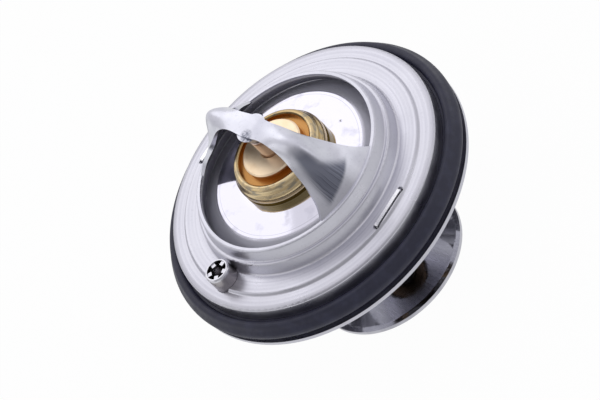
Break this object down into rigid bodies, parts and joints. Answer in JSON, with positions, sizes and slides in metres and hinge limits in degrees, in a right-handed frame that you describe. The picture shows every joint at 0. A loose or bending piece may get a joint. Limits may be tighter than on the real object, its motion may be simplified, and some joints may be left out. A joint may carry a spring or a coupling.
{
  "type": "engine thermostat",
  "caption": "Wax-element engine thermostat: pressed flange with a rubber seal, a drawn bridge over the main valve disc, a spring cage below and a sprung bypass disc on a stem.",
  "frame": {"origin": "on the valve's axis, in the plane of the bypass disc's rim, which is the lowest plane", "axes": "+Z along the valve's axis towards the bridge, +X along the bridge"},
  "size_m": [0.08, 0.08, 0.0618],
  "materials": {
    "stainless_sheet": "satin pressed sheet",
    "polished_steel": "mirror polished sheet",
    "spring_steel": "drawn wire",
    "seal_rubber": "moulded, slightly glossy",
    "brass": "drawn and turned",
    "piston_steel": "ground",
    "ring_plastic": "plain",
    "wax": "wax with copper powder"
  },
  "bodies": {
    "frame": {"flange_bridge": "stainless_sheet", "seal_ring": "seal_rubber", "cage": "stainless_sheet", "piston": "piston_steel", "main_spring": "spring_steel", "vent_body": "stainless_sheet"},
    "valve": {"valve_disc": "polished_steel", "spring_retainer": "stainless_sheet", "element_cup": "brass", "piston_guide": "brass", "chafe_ring": "ring_plastic", "rubber_sleeve": "seal_rubber", "wax_charge": "wax", "stem": "brass", "spring_washer": "piston_steel", "bypass_spring": "spring_steel", "end_washer": "piston_steel"},
    "bypass": {"bypass_disc": "polished_steel"},
    "ball": {"vent_ball": "piston_steel"}
  },
  "joints": [
    {"name": "valve_lift", "type": "slide", "parent": "frame", "child": "valve", "axis": [0, 0, -1], "range_m": [0, 0.009], "stiffness_N_per_m": 5000, "springref_m": -0.01, "deforming": ["main_spring"]},
    {"name": "bypass_lift", "type": "slide", "parent": "valve", "child": "bypass", "axis": [0, 0, 1], "range_m": [0, 0.005], "stiffness_N_per_m": 2500, "springref_m": -0.006, "deforming": ["bypass_spring"]},
    {"name": "ball_lift", "type": "slide", "parent": "frame", "child": "ball", "axis": [0, 0, 1], "range_m": [0, 0.0035]}
  ]
}
